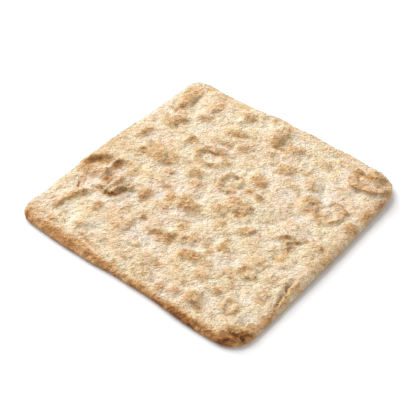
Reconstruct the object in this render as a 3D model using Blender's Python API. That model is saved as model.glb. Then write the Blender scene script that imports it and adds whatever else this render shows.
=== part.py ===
"""A square sheet of matzo, baked thick and blistered, lying flat on its underside.

The sheet is one closed solid. Its top is a grid of quads that follows the baked relief: shut
blisters, blisters that fell in and left their rim standing, folds and creases. Its edge is a
rounded rim, and its underside is flat, apart from the corner and the side that curled up in
the oven. Z is up, the underside stands on z = 0, and the four sides run along X and Y.
"""

import math
from dataclasses import dataclass
from enum import Enum

import bmesh
import bpy
import numpy as np

MM = 0.001

# Driving dimensions, in millimetres
SIDE = 175.0            # the sheet from side to side, over its widest places
DOUGH = 4.9             # thickness of the plain dough between the blisters
RIM_REACH = 5.5         # how far in from the side the top starts to slope down to it
RIM_HEIGHT = 1.9        # height at which the side stands out furthest
FOOT_REACH = 1.8        # how far in from the side the underside starts
UPPER_RINGS = 4         # rows of faces from the top down to the side
LOWER_RINGS = 2         # rows of faces from the side down to the underside
CELLS = 58              # quads along each side of the top
FLAT_INSET = 46.0       # how far in from the side the underside is dead flat

# Radii of the four corners, anticlockwise from the front right one
CORNER_RADII = (13.0, 22.0, 9.0, 13.0)

# How far the curled corner and the curled side stand off the table
CORNER_LIFT = 1.2
CORNER_LIFT_FROM = 98.0   # x + y where the corner starts to curl
CORNER_LIFT_TO = 152.0    # x + y where it reaches its full lift
SIDE_LIFT = 0.8
SIDE_LIFT_FROM = 56.0     # x where the right side starts to curl
SIDE_LIFT_FRONT = -52.0   # y where that curl has died out

# The places of the relief below are those of a sheet 179.3 mm wide. This share brings them to SIDE.
RELIEF_SCALE = 0.976

# Small blisters that a seeded rule spreads between the named ones
SMALL_BLISTERS = 90
SMALL_RADIUS = (3.6, 6.0)
SMALL_HEIGHT = (0.35, 0.9)
SMALL_SEED = 18

# Colour (linear) and roughness of the dry floury crust
CRUST_COLOUR = (0.723, 0.546, 0.366, 1.0)
CRUST_ROUGHNESS = 0.86


class Form(Enum):
    """The shapes that the dough takes as it bakes."""

    DOME = "a blister that stayed shut"
    RING = "a blister that fell in, with its rim still standing"
    RIDGE = "a fold, or the standing edge of a torn blister"
    CREASE = "a sharp valley between two folds"


@dataclass(frozen=True)
class Relief:
    """One shape in the top: centre, length, width, turn from X in degrees and height, in mm."""

    form: Form
    x: float
    y: float
    length: float
    width: float
    turn: float
    height: float

    def lift(self, x, y):
        """Height that this shape adds at each of the points x, y, in mm."""
        cos, sin = math.cos(math.radians(self.turn)), math.sin(math.radians(self.turn))
        along = (x - self.x) * cos + (y - self.y) * sin
        across = (y - self.y) * cos - (x - self.x) * sin
        if self.form in (Form.RIDGE, Form.CREASE):
            past_end = np.maximum(np.abs(along) - (self.length - self.width) / 2, 0.0)
            away = np.hypot(past_end, across) / (self.width / 2)
        else:
            away = np.hypot(along / (self.length / 2), across / (self.width / 2))
        if self.form is Form.CREASE:
            return -self.height * np.clip(1.0 - away, 0.0, 1.0)
        if self.form is Form.RING:
            return self.height * ring_profile(away)
        return self.height * dome_profile(away)


def dome_profile(away):
    """A full round top that runs out flat at its foot, where away is 1."""
    inside = np.clip(1.0 - away**2, 0.0, 1.0)
    return inside**1.4


def ring_profile(away):
    """A rim standing at three quarters of the way out, round a floor a little above the dough."""
    rim = np.exp(-(((away - 0.74) / 0.2) ** 2))
    floor = 0.25 * np.clip(1.0 - away**2, 0.0, 1.0)
    return rim + floor


DOME, RING, RIDGE, CREASE = Form.DOME, Form.RING, Form.RIDGE, Form.CREASE

# The large bubble at the left side, and the folds that run from it over the edge
LEFT_SIDE = (
    Relief(DOME, -55, -29, 26, 24, 20, 3.9),
    Relief(RIDGE, -52, -37, 22, 7, 22, 1.5),
    Relief(RIDGE, -74, -31, 26, 12, 18, 2.4),
    Relief(DOME, -80, -22, 16, 13, 60, 1.8),
    Relief(DOME, -65, -17, 13, 8, 100, 1.6),
    Relief(DOME, -53, -16, 12, 9, 0, 1.4),
    Relief(RIDGE, -75, -45, 13, 5, 105, 0.8),
    Relief(RIDGE, -68, -57, 26, 9, 74, 2.0),
    Relief(RIDGE, -74, 20, 14, 6, 85, 0.9),
)

# The back left quarter
BACK_LEFT = (
    Relief(DOME, -74, 65, 30, 13, 88, 2.7),
    Relief(DOME, -67, 43, 20, 15, 25, 1.6),
    Relief(DOME, -52, 65, 13, 11, 40, 1.0),
    Relief(DOME, -52, 54, 13, 10, 20, 1.0),
    Relief(DOME, -30, 74, 14, 11, 0, 1.2),
    Relief(DOME, -25, 55, 17, 11, 15, 1.4),
    Relief(DOME, -27, 43, 19, 9, 8, 1.3),
    Relief(RING, -23, 27, 27, 22, 10, 2.1),
    Relief(DOME, -45, 32, 11, 9, 0, 1.2),
    Relief(DOME, -63, 11, 17, 14, 30, 1.3),
    Relief(DOME, -47, 8, 23, 18, 15, 2.3),
    Relief(DOME, -20, 8, 12, 9, 20, 1.1),
)

# The back right quarter, with the bubble that fills the curled corner
BACK_RIGHT = (
    Relief(DOME, 72, 73, 25, 22, 0, 4.6),
    Relief(RIDGE, 71, 63, 21, 6, 4, 1.7),
    Relief(DOME, -1, 72, 25, 15, 100, 2.4),
    Relief(DOME, 14, 65, 16, 14, 0, 1.5),
    Relief(DOME, 21, 46, 15, 11, 10, 1.2),
    Relief(DOME, 15, 28, 15, 13, 30, 2.1),
    Relief(RING, 2, 15, 20, 19, 0, 1.7),
    Relief(DOME, 52, 35, 15, 12, 20, 1.5),
    Relief(RING, 66, 31, 24, 24, 0, 1.8),
    Relief(DOME, 83, 28, 12, 10, 60, 1.2),
    Relief(RIDGE, 85, 47, 22, 9, 90, 1.0),
    Relief(RIDGE, 66, 2, 18, 5, 46, 1.6),
    Relief(DOME, 76, 4, 11, 10, 0, 1.1),
)

# The front right quarter, with the crease along the right side and the folds at the burnt corner
FRONT_RIGHT = (
    Relief(DOME, 18, -1, 24, 16, 12, 3.1),
    Relief(RIDGE, 36, -14, 17, 9, 42, 2.0),
    Relief(DOME, 32, -27, 14, 11, 80, 1.4),
    Relief(RING, 57, -40, 15, 14, 0, 1.4),
    Relief(DOME, 47, -46, 11, 10, 0, 1.2),
    Relief(DOME, 26, -39, 14, 10, 20, 1.3),
    Relief(DOME, 21, -51, 22, 12, 20, 1.6),
    Relief(RING, 65, -67, 14, 13, 0, 1.5),
    Relief(DOME, 46, -73, 17, 12, 70, 1.3),
    Relief(DOME, 73, -49, 15, 13, 0, 1.0),
    Relief(DOME, 70, -35, 13, 12, 0, 0.9),
    Relief(DOME, 63, -12, 18, 10, 80, 1.1),
    Relief(CREASE, 82.5, -39, 28, 4, 96, 1.3),
    Relief(RIDGE, 78.5, -39, 26, 6, 96, 0.6),
    Relief(RIDGE, 82, -75, 18, 7, 70, 1.5),
    Relief(RIDGE, 76, -81, 13, 6, 30, 1.1),
    Relief(CREASE, 80, -78, 16, 4, 55, 0.8),
)

# The front left quarter, with the wrinkles along the front edge
FRONT_LEFT = (
    Relief(DOME, -5, -18, 22, 18, 150, 2.9),
    Relief(DOME, -23, -16, 15, 11, 160, 1.4),
    Relief(DOME, -34, -28, 13, 12, 0, 1.7),
    Relief(DOME, 3, -32, 13, 10, 150, 1.3),
    Relief(DOME, -28, -54, 27, 18, 10, 1.3),
    Relief(DOME, -50, -53, 12, 9, 80, 1.3),
    Relief(RIDGE, -2, -48, 24, 8, 8, 1.7),
    Relief(RIDGE, -34, -80, 34, 7, 178, 1.0),
    Relief(DOME, -63, -80, 13, 9, 0, 1.1),
    Relief(DOME, -9, -75, 12, 8, 10, 0.9),
)

NAMED_RELIEF = LEFT_SIDE + BACK_LEFT + BACK_RIGHT + FRONT_RIGHT + FRONT_LEFT

# Slow bulges of the sides: side number as in side_point, place along it, reach, amount
BULGES = (
    (0, -5.0, 80.0, 2.6),
    (0, -60.0, 20.0, 0.5),
    (0, 35.0, 20.0, 0.3),
    (1, -70.0, 8.0, 1.0),
    (1, -12.0, 9.0, 1.4),
    (1, 0.0, 34.0, 1.2),
    (1, 17.0, 12.0, 1.0),
    (1, 43.0, 9.0, 0.6),
    (1, 66.0, 14.0, -1.6),
    (2, -62.0, 8.0, -1.0),
    (2, -23.0, 7.0, 1.6),
    (2, -2.0, 26.0, 1.5),
    (2, 62.0, 16.0, -0.9),
    (3, -45.0, 34.0, 2.2),
    (3, -22.0, 9.0, 0.5),
    (3, 8.0, 14.0, 0.5),
    (3, 54.0, 26.0, 2.2),
)
WIDEST_BULGE = 2.5


def smooth_step(value, start, end):
    """0 before start, 1 past end and a smooth rise between them."""
    share = np.clip((value - start) / (end - start), 0.0, 1.0)
    return share * share * (3.0 - 2.0 * share)


def side_point(side, share, inset):
    """A point of the outline, moved in by inset, and the outward direction there.

    Sides 0 to 3 are the right, back, left and front ones. share runs from -1 to 1 along a
    side, anticlockwise, from the middle of one corner's arc to the middle of the next one's.
    """
    half = SIDE / 2 - WIDEST_BULGE
    radius = CORNER_RADII[side] if share < 0 else CORNER_RADII[(side + 1) % 4]
    straight = half - radius
    run = abs(share) * (straight + radius * math.pi / 4)
    if run <= straight:
        along, out, angle = run, half, 0.0
    else:
        angle = (run - straight) / radius
        along = straight + radius * math.sin(angle)
        out = half - radius + radius * math.cos(angle)
    sign = -1.0 if share < 0 else 1.0
    along, angle = along * sign, angle * sign
    for bulged, place, reach, amount in BULGES:
        if bulged == side:
            away = (along * (1 if side in (0, 3) else -1) - place) / reach
            out += amount * math.exp(-away * away) * math.cos(angle)
    out -= inset * math.cos(angle)
    along -= inset * math.sin(angle)
    quarter = math.pi / 2 * side
    cos, sin = math.cos(quarter), math.sin(quarter)
    return out * cos - along * sin, out * sin + along * cos


def small_blisters():
    """Small shut blisters in the gaps between the named ones, spread by a seeded draw."""
    draw = np.random.default_rng(SMALL_SEED)
    reach = SIDE / 2 - RIM_REACH
    found = []
    while len(found) < SMALL_BLISTERS:
        x, y = draw.uniform(-reach, reach, 2)
        radius, height = draw.uniform(*SMALL_RADIUS), draw.uniform(*SMALL_HEIGHT)
        stretch, turn = draw.uniform(0.8, 1.3), draw.uniform(0.0, 180.0)
        if any(math.hypot(x - b.x, y - b.y) < radius + 2.0 for b in found):
            continue
        found.append(Relief(DOME, x, y, 2 * radius * stretch, 2 * radius, turn, height))
    return found


def relief_height(x, y):
    """Height of the top above the underside at the points x, y, in mm."""
    x, y = x / RELIEF_SCALE, y / RELIEF_SCALE
    named = sum(shape.lift(x, y) for shape in NAMED_RELIEF)
    between = np.clip(1.0 - np.abs(named) / 1.2, 0.0, 1.0)
    return DOUGH + named + between * sum(shape.lift(x, y) for shape in small_blisters())


def table_gap(x, y):
    """How far the curled corner and side stand off the table at the points x, y, in mm."""
    corner = CORNER_LIFT * smooth_step(x + y, CORNER_LIFT_FROM, CORNER_LIFT_TO)
    side = SIDE_LIFT * smooth_step(x, SIDE_LIFT_FROM, SIDE / 2)
    side = side * smooth_step(y, SIDE_LIFT_FRONT, SIDE_LIFT_FRONT + 40.0)
    return corner + side


def grid_point(column, row):
    """Place of a grid point of the top: square rings of points shrunk from the outline."""
    u, v = 2.0 * column / CELLS - 1.0, 2.0 * row / CELLS - 1.0
    ring = max(abs(u), abs(v))
    if ring == 0.0:
        return 0.0, 0.0
    if u == ring:
        side, share = 0, v / ring
    elif v == ring:
        side, share = 1, -u / ring
    elif u == -ring:
        side, share = 2, -v / ring
    else:
        side, share = 3, u / ring
    x, y = side_point(side, share, RIM_REACH)
    return x * ring, y * ring


def outline_ring(inset):
    """The outline moved in by inset: one point for each grid point along the top's edge."""
    shares = [2.0 * step / CELLS - 1.0 for step in range(CELLS)]
    return np.array([side_point(side, share, inset) for side in range(4) for share in shares])


def edge_indices():
    """Grid columns and rows along the top's edge, in the order of outline_ring."""
    last = CELLS
    right = [(last, step) for step in range(last)]
    back = [(last - step, last) for step in range(last)]
    left = [(0, last - step) for step in range(last)]
    front = [(step, 0) for step in range(last)]
    return right + back + left + front


def rim_profile():
    """The edge's section from the top down: each ring's inset, and its height as a share.

    The share is 1 at the top, 0 where the side stands out furthest and -1 at the underside.
    """
    for step in range(1, UPPER_RINGS + 1):
        angle = math.pi / 2 * step / UPPER_RINGS
        yield RIM_REACH * (1.0 - math.sin(angle)), math.cos(angle)
    for step in range(1, LOWER_RINGS + 1):
        angle = math.pi / 2 * step / LOWER_RINGS
        yield FOOT_REACH * (1.0 - math.cos(angle)), -math.sin(angle)


def add_points(mesh, x, y, z):
    """Adds one vertex for each point, given in millimetres, and returns them in order."""
    return [mesh.verts.new((a * MM, b * MM, c * MM)) for a, b, c in zip(x, y, z)]


def join_rings(mesh, upper, lower):
    """Quads between two rings of the same length, of which upper lies inside or above."""
    count = len(upper)
    for step in range(count):
        following = (step + 1) % count
        mesh.faces.new((upper[step], lower[step], lower[following], upper[following]))


def make_sheet():
    """Builds the sheet's closed mesh: top, rounded rim and underside."""
    mesh = bmesh.new()
    places = [grid_point(column, row) for column in range(CELLS + 1) for row in range(CELLS + 1)]
    x, y = np.array(places).T
    top = add_points(mesh, x, y, relief_height(x, y) + table_gap(x, y))
    rows = CELLS + 1
    for column in range(CELLS):
        for row in range(CELLS):
            corner = column * rows + row
            mesh.faces.new((top[corner], top[corner + rows], top[corner + rows + 1], top[corner + 1]))

    previous = [top[column * rows + row] for column, row in edge_indices()]
    x, y = outline_ring(RIM_REACH).T
    top_height = relief_height(x, y)
    for inset, share in rim_profile():
        x, y = outline_ring(inset).T
        rise = share * (top_height - RIM_HEIGHT) if share > 0 else share * RIM_HEIGHT
        following = add_points(mesh, x, y, RIM_HEIGHT + rise + table_gap(x, y))
        join_rings(mesh, previous, following)
        previous = following

    x, y = outline_ring(FLAT_INSET).T
    flat = add_points(mesh, x, y, np.zeros_like(x))
    join_rings(mesh, previous, flat)
    mesh.faces.new(list(reversed(flat)))

    bmesh.ops.recalc_face_normals(mesh, faces=mesh.faces)
    return mesh


def centre_over_origin(mesh):
    """Moves the mesh so that its box is centred over the origin and stands on z = 0."""
    corners = np.array([vertex.co for vertex in mesh.verts])
    low, high = corners.min(axis=0), corners.max(axis=0)
    shift = (-(low[0] + high[0]) / 2, -(low[1] + high[1]) / 2, -low[2])
    bmesh.ops.translate(mesh, verts=mesh.verts, vec=shift)


def crust_material():
    """The dry, floury baked crust."""
    material = bpy.data.materials.new("baked_crust")
    material.use_nodes = True
    shader = material.node_tree.nodes["Principled BSDF"]
    shader.inputs["Base Color"].default_value = CRUST_COLOUR
    shader.inputs["Roughness"].default_value = CRUST_ROUGHNESS
    shader.inputs["Metallic"].default_value = 0.0
    return material


def main():
    """Clears the scene and adds the sheet."""
    for item in list(bpy.data.objects):
        bpy.data.objects.remove(item)
    mesh = make_sheet()
    centre_over_origin(mesh)
    data = bpy.data.meshes.new("matzo_sheet")
    mesh.to_mesh(data)
    mesh.free()
    data.shade_smooth()
    data.materials.append(crust_material())
    sheet = bpy.data.objects.new("matzo_sheet", data)
    bpy.context.scene.collection.objects.link(sheet)


main()
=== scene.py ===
"""Looks of a square sheet of matzo: blistered, floury on top and browned along its rim.

The sheet is one piece of baked dough. It is rolled out as a plain slab, its blisters, folds
and creases are pulled up out of the top, its corner is curled, and it is then toasted: the
places that the oven browned, with painted shade on the lee sides of blisters and folds and in
creases, are painted into an attribute that the crust's material reads.
"""

from __future__ import annotations

import logging
import math
import random
from dataclasses import dataclass, field
from enum import Enum
from typing import Any, Callable, Iterable, Sequence

import bmesh
import bpy
import numpy as np
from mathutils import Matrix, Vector, kdtree


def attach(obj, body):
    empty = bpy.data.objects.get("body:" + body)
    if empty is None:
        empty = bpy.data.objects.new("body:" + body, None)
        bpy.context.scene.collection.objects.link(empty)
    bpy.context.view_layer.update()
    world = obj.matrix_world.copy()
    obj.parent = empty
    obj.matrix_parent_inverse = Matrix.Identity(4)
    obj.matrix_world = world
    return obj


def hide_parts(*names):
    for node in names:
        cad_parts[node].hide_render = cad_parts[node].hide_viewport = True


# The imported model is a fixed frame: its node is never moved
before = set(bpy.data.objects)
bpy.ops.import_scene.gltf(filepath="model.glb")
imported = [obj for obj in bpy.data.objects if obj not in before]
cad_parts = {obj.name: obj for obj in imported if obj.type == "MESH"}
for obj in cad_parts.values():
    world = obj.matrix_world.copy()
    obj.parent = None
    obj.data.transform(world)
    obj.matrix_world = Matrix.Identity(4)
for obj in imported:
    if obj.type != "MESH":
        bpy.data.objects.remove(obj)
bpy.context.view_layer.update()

MM = 0.001
LOG = logging.getLogger("matzo")

# The lists below give places as read off the photograph, on a sheet 179.3 mm wide. This brings
# them, and the lengths and widths beside them, to the real one's 175 mm.
READ_SCALE = 0.976

# The photograph's viewing angle, in degrees
VIEW_AZIMUTH = 39.22
VIEW_ELEVATION = 44.2

Pair = tuple[float, float]
Point = Pair
Place = tuple[float, float, float]


class Falloff(Enum):
    """How a pulled-up shape runs out into the dough round it."""

    ROUND = "SPHERE"          # flat on top, with a steep foot
    FULL = "INVERSE_SQUARE"   # a plump dome with a clear foot
    SOFT = "SMOOTH"           # a dome that fades into the dough
    KEEN = "SHARP"            # a narrow crest


class Noise(Enum):
    """The random patterns that make the dough uneven."""

    CLOUDS = "CLOUDS"   # soft lumps
    CELLS = "VORONOI"   # pillows that meet in sharp valleys


class Tone(Enum):
    """How far the oven took a place, from 0 for floury dough to 1 for burnt crust.

    The darker tones also paint shade on lee slopes and in creases.
    """

    PALE = 0.05
    TAN = 0.34
    GOLDEN = 0.43
    BROWN = 0.55
    DARK = 0.74
    SCORCHED_AND_DEEP_SHADE = 1.0


@dataclass(frozen=True)
class Blister:
    """A blister that stayed shut. Sizes in mm, turn in degrees from X."""

    x: float
    y: float
    length: float
    width: float
    height: float
    lumps: int
    turn: float = 0.0
    falloff: Falloff = Falloff.FULL


@dataclass(frozen=True)
class FallenBlister:
    """A blister that fell in, with all or part of its rim still standing. Sizes in mm.

    The rim runs anticlockwise from start to end, in degrees from X.
    """

    x: float
    y: float
    length: float
    width: float
    height: float
    band: float
    start: float = 0.0
    end: float = 360.0
    lean: float = 0.0
    falloff: Falloff = Falloff.SOFT


@dataclass(frozen=True)
class Fold:
    """A fold of dough along a path (height above 0), or a crease in it (below 0), in mm."""

    path: tuple[Point, ...]
    width: float
    height: float
    falloff: Falloff = Falloff.SOFT
    lean: Point = (0.0, 0.0)


@dataclass(frozen=True)
class Patch:
    """A toasted or floury place, or a place of painted shade. Sizes in mm, turn in degrees from X.

    The edge is the share of its size over which it fades.
    """

    x: float
    y: float
    length: float
    width: float
    tone: Tone
    turn: float = 0.0
    edge: float = 0.8


@dataclass(frozen=True)
class Layer:
    """One layer of noise over the named vertex group of the dough. Sizes in mm."""

    name: str
    noise: Noise
    size: float
    strength: float
    direction: str
    group: str
    stretch: float = 1.0

    @property
    def middle(self) -> float:
        """The value of the noise that leaves the dough where it is."""
        return 0.5 if self.noise is Noise.CLOUDS else 0.2


ROUND, FULL, SOFT, KEEN = Falloff.ROUND, Falloff.FULL, Falloff.SOFT, Falloff.KEEN
PALE, TAN, GOLDEN = Tone.PALE, Tone.TAN, Tone.GOLDEN
BROWN, DARK, SCORCHED_AND_DEEP_SHADE = Tone.BROWN, Tone.DARK, Tone.SCORCHED_AND_DEEP_SHADE

BLISTERS: tuple[Blister, ...] = tuple(Blister(*row) for row in (
    # Left side, round the large bubble
    (-54, -33, 18, 16, 2.1, 4, 25), (-57, -24, 20, 11, 0.8, 3, 10, SOFT),
    (-73, -31, 24, 11, 2.0, 0, 8), (-80, -20, 16, 12, 1.6, 2, 50, SOFT),
    (-65, -17, 12, 7, 1.3, 1, 105), (-53, -15, 11, 8, 1.2, 2, 20), (-34, -27, 12, 11, 1.6, 3, 60),
    (-42, -24, 10, 7, 0.8, 1, 25, SOFT),
    # Back left quarter
    (-74, 66, 27, 12, 1.5, 4, 92, SOFT), (-67, 42, 20, 15, 1.3, 4, 30, SOFT),
    (-54, 66, 12, 11, 1.0, 1, 40), (-52, 55, 14, 9, 1.0, 2, 30), (-52, 72, 7, 6, 0.7, 0),
    (-30, 75, 14, 11, 1.1, 2), (-25, 56, 16, 10, 1.3, 2, 20), (-27, 44, 19, 9, 1.1, 2, 6),
    (-12, 46, 9, 7, 0.8, 1), (-44, 32, 11, 9, 1.2, 2, 20), (-61, 13, 15, 11, 1.3, 2, 30),
    (-62, 5, 12, 8, 1.0, 1, 10), (-46, 8.5, 20, 16, 2.1, 4, 10), (-35, -1, 9, 6, 0.9, 1, 10),
    (-21, 8, 13, 9, 1.1, 2, 20), (-14, 1, 12, 7, 1.0, 2, 15),
    # Back right quarter
    (1, 73, 22, 14, 2.0, 2, 105), (-1, 65, 18, 12, 1.2, 0, 10, SOFT), (15, 65, 14, 12, 1.3, 3),
    (9, 70, 7, 6, 0.8, 0), (4, 54, 9, 8, 0.8, 1), (23, 47, 13, 10, 1.1, 2, 20),
    (33, 54, 9, 7, 0.7, 1), (45, 45, 9, 8, 0.8, 1), (36, 37, 8, 7, 0.8, 1),
    (15, 28, 14, 11, 1.9, 2, 150), (16, 17, 6, 5, 0.9, 0), (24.5, 15, 8, 8, 0.9, 1),
    (52, 35, 14, 11, 1.2, 2, 10), (83, 28, 11, 9, 1.0, 1, 60), (77, 4, 12, 10, 0.9, 3),
    (50, 76, 13, 9, 0.7, 2, 0, SOFT), (39, 67, 14, 8, 0.6, 2, 0, SOFT),
    # The curled corner's bubble
    (71.5, 72, 19, 17, 1.9, 4),
    # Front right quarter
    (18, 0.5, 22, 13, 2.2, 0, 14), (12, -8, 15, 8, 0.8, 1, 10, SOFT), (21, -16, 7, 6, 0.7, 1),
    (36, -12.5, 17, 9, 1.1, 3, 40, SOFT), (32, -26, 9, 8, 0.8, 1), (33.5, -33, 9, 8, 1.0, 2, 80),
    (18, -35, 19, 11, 0.9, 1, 10, SOFT), (27, -39, 11, 8, 1.1, 1, 150),
    (14, -41, 12, 6, 0.8, 2, 15), (22, -50, 18, 10, 1.4, 2, 20), (34, -49, 12, 9, 0.6, 2, 0, SOFT),
    (36, -57, 12, 8, 0.5, 1, 20, SOFT), (48, -45, 9, 8, 1.0, 1, 140), (46, -52, 6, 5, 0.5, 0),
    (75, -47, 12, 10, 0.9, 3, 100), (72, -35, 11, 8, 0.7, 1), (58, -28, 14, 9, 0.6, 1, 0, SOFT),
    (65, -12, 17, 7, 0.9, 1, 100), (56, -14, 9, 8, 0.6, 0, 0, SOFT), (56, -3, 12, 8, 1.0, 1, 25),
    (51, -61, 8, 6, 1.0, 0, 150), (34, -67, 10, 6, 0.8, 1), (34, -76, 9, 8, 0.8, 3),
    (46, -74, 16, 10, 1.1, 2, 125), (24, -79, 8, 7, 0.9, 0, 120), (10, -66, 8, 7, 0.7, 0),
    (74, -81, 10, 7, 0.8, 1, 80),
    # Front left quarter
    (-6, -18, 19, 14, 2.4, 4, 160), (-25, -13, 11, 9, 1.1, 1), (-19, -19, 10, 8, 1.2, 2, 60),
    (-19, -28, 13, 9, 0.7, 1, 0, SOFT), (0, -30, 9, 5, 0.9, 0, 10), (4.5, -33, 9, 8, 1.1, 1, 30),
    (-20, -42.5, 5, 5, 0.8, 0), (-29, -54, 22, 14, 1.0, 4, 10), (-17, -53, 9, 8, 0.6, 1),
    (-49, -53, 9, 7, 1.1, 0, 110), (-57, -76, 6, 5, 0.8, 0, 120), (-63, -79, 9, 6, 0.9, 1),
    (-47, -71, 10, 8, 0.7, 1, 120), (-9, -74, 10, 7, 0.8, 2, 10),
    (-24, -72, 14, 7, 0.6, 1, 0, SOFT), (3, -46.5, 10, 8, 1.4, 1, 60),
))

FALLEN: tuple[FallenBlister, ...] = (
    # The torn, overhanging edge of the large bubble
    FallenBlister(-55, -30, 19, 21, 1.5, 3.0, 240, 370, 1.2, ROUND),
    # The ring left of the middle
    FallenBlister(2.5, 14.5, 14, 16, 1.3, 3.6, 20, 330, 0.4),
    # The large ring at the right
    FallenBlister(66.5, 31, 17, 19, 1.4, 4.0, 0, 360, 0.5),
    FallenBlister(51.5, 35.5, 9, 7, 0.7, 2.6, 190, 380, 0.3),
    # The curled corner's overhanging lip
    FallenBlister(73.5, 73.5, 25, 24, 1.8, 4.8, 178, 322, 1.8, ROUND),
    # Small rings
    FallenBlister(57.5, -39.5, 9, 8, 1.1, 3.0, 0, 360, 0.2),
    FallenBlister(65, -66, 9.5, 9, 1.1, 3.0, 0, 360, 0.3),
    FallenBlister(-33, -46, 4.5, 4.5, 0.6, 1.6),
    FallenBlister(25, 15, 5, 5, 0.5, 1.8),
)

FOLDS: tuple[Fold, ...] = tuple(Fold(*row) for row in (
    # Ridges that run from the left side to the large bubble
    (((-83.5, -27), (-80.5, -20.5), (-76, -16), (-70.5, -14)), 8.0, 1.4, SOFT, (0.4, -0.4)),
    (((-66, -12), (-65.5, -18), (-65.5, -24), (-63.5, -31), (-61, -34)), 6.4, 2.0, SOFT,
     (0.6, -0.3)),
    (((-48, -27), (-44, -25), (-39, -23)), 4.6, 1.0),
    (((-52.5, -26), (-52, -31), (-53.5, -36)), 3.2, 0.8),
    (((-57, -28), (-57.5, -33), (-57, -37)), 3.2, 0.7),
    # The standing fold in the front left corner, and the creases beside it
    (((-64.5, -47), (-66, -52), (-68.5, -58), (-70, -64), (-70.5, -70)), 6.4, 1.5, SOFT,
     (0.5, 0.0)),
    (((-75, -40), (-73.5, -45), (-71.5, -49)), 3.0, -1.1, KEEN),
    (((-72.5, -41), (-71, -45), (-70, -48)), 4.0, 0.7), (((-77.5, -67), (-76, -64)), 2.6, 0.7),
    (((-76, 12), (-74, 18), (-73.5, 24)), 6.0, 0.9, FULL),
    # The open ring in the back left quarter: two uneven ridges round a pale middle
    (((-34, 25), (-32.5, 30), (-28, 34), (-22, 36), (-16, 35)), 7.0, 1.3),
    (((-31, 28), (-26, 31), (-20, 32.5), (-16, 31.5)), 3.6, 0.9, SOFT, (0.6, -0.6)),
    (((-33.5, 22.5), (-30, 19.5), (-27, 19)), 7.0, 1.2),
    (((-24, 18), (-18, 19.5), (-13.5, 23), (-12, 27)), 9.0, 1.5),
    # The seam beside the long blister in the back left corner
    (((-68, 72), (-69, 67), (-68.5, 63), (-67, 59)), 3.6, -0.7, SOFT),
    (((-72, 58), (-73.5, 53), (-74, 49)), 5.5, 0.8),
    # Seams across the blister behind the middle of the back edge
    (((3, 80), (5, 75), (6, 70)), 3.0, -0.7, KEEN),
    (((-4, 70.5), (2, 70), (6, 69)), 2.6, -0.5, KEEN),
    # The two sharp ridges right of the middle
    (((62, -6), (64.5, -2), (66.5, 1), (69, 4.5), (72.5, 8)), 4.8, 1.3, SOFT, (0.4, -0.4)),
    (((50, -7), (55, -5), (59, -1), (60, 2)), 3.6, 0.9, SOFT, (0.3, -0.3)),
    (((34, -17), (38, -14.5), (41, -10)), 4.0, 0.6, SOFT, (0.4, -0.4)),
    # The steep end of the smooth dome in the middle
    (((26.5, 5), (26, 0), (25, -4)), 3.6, 0.6, ROUND, (0.9, 0.0)),
    # The crease along the right side
    (((82, -28), (82.8, -34), (84, -42), (85.5, -50)), 3.0, -1.8, KEEN),
    (((79.5, -31), (80, -38), (81, -46)), 4.4, 0.6),
    (((85, -27), (86, -36), (87.2, -46)), 4.6, 0.8),
    (((87, -15), (85, -20), (83.5, -26)), 3.6, 0.7),
    # The chain of low ridges in front of the middle
    (((-12, -48), (-8, -48), (-5, -46), (0, -45), (4, -46)), 5.0, 1.0, FULL),
    (((-3, -52), (2, -51), (6, -49)), 3.4, 0.6),
    # Wrinkles along the front side
    (((-38, -79), (-33, -79.5), (-28, -79.5), (-24, -80.5)), 2.8, 0.6),
    (((-40, -82.5), (-34, -82.5), (-28, -83)), 2.8, 0.5),
    (((-45, -77), (-41, -78), (-38, -76.5)), 2.6, -0.5, KEEN),
    (((-49, -66), (-46, -67), (-43.5, -71)), 2.6, 0.5),
    (((-18, -66), (-13, -65), (-8, -63)), 3.6, 0.5),
    # Wrinkles on the curled corner's bubble
    (((64, 74), (67, 72.5), (69.5, 73.5)), 3.4, -1.6, KEEN),
    (((66, 69.5), (70, 67.5), (75, 67.5), (79, 69)), 3.4, -0.9, SOFT),
    (((71, 79), (74, 76.5), (79, 77)), 2.4, -0.7, KEEN),
    (((72, 74), (77, 73), (83, 74.5)), 2.4, -0.6, KEEN),
    (((68, 81), (71, 77.5), (72, 73)), 2.6, 0.5),
    # Folds at the burnt corner
    (((79, -70), (81.5, -73), (83, -76)), 3.6, -1.1, KEEN),
    (((77, -79.5), (81, -78.5), (86, -79)), 3.4, -1.3, KEEN),
    (((76, -76), (80, -75), (84, -74), (87, -73)), 4.4, 1.3),
    (((74, -83), (78, -82), (83, -82)), 4.4, 1.2),
    # Folded dough in the front right quarter
    (((43, -78), (47, -77.5), (52, -77.5)), 2.6, 0.7),
    (((43, -71), (46, -71.5), (49, -70)), 2.4, -0.6, KEEN),
))

# Toasted and floury places. Many dark ones lie on the lee sides of blisters and folds and in
# creases, where they are partly toasted crust and partly painted shade.
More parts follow.
